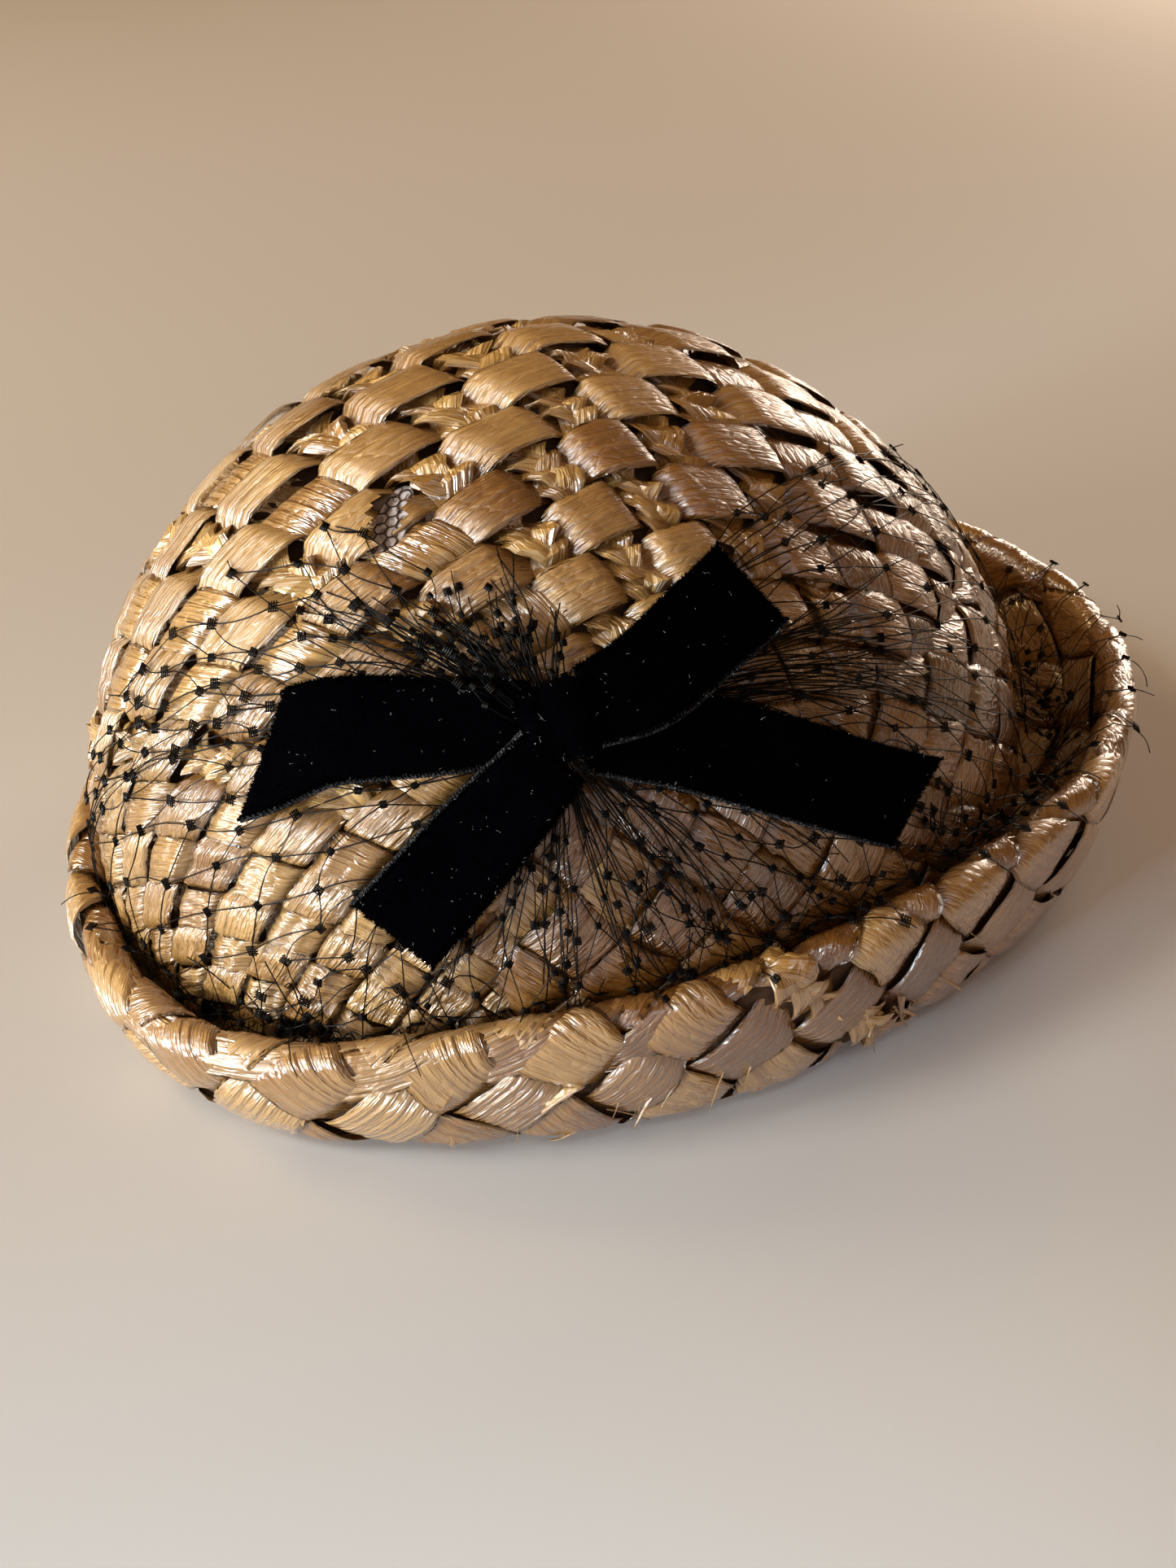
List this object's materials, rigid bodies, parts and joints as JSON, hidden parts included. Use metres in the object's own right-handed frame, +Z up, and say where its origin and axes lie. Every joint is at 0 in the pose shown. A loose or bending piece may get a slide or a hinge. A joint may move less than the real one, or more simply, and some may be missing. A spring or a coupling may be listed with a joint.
{
  "type": "pillbox hat",
  "caption": "Small domed hat of woven straw with a turned-up rolled brim, a black velvet bow and a coarse net veil gathered at the bow.",
  "frame": {"origin": "centre of the bounding box in plan, on the flat underside of the brim's fold", "axes": "+Z up through the crown, +X towards the end where the brim flares widest, -Y towards the bow"},
  "size_m": [0.236, 0.1742, 0.11],
  "materials": {
    "straw": "glossy viscose straw, golden tan",
    "foundation_net": "stiffened hexagonal net, pale",
    "velvet": "black rayon velvet, short pile",
    "net_thread": "black knotted thread"
  },
  "bodies": {
    "root": {"crown": "straw", "brim": "straw", "foundation_cap": "foundation_net", "bow_left": "velvet", "bow_lower": "velvet", "bow_upper": "velvet", "bow_right": "velvet", "bow_knot": "velvet", "veil": "net_thread"}
  },
  "joints": []
}
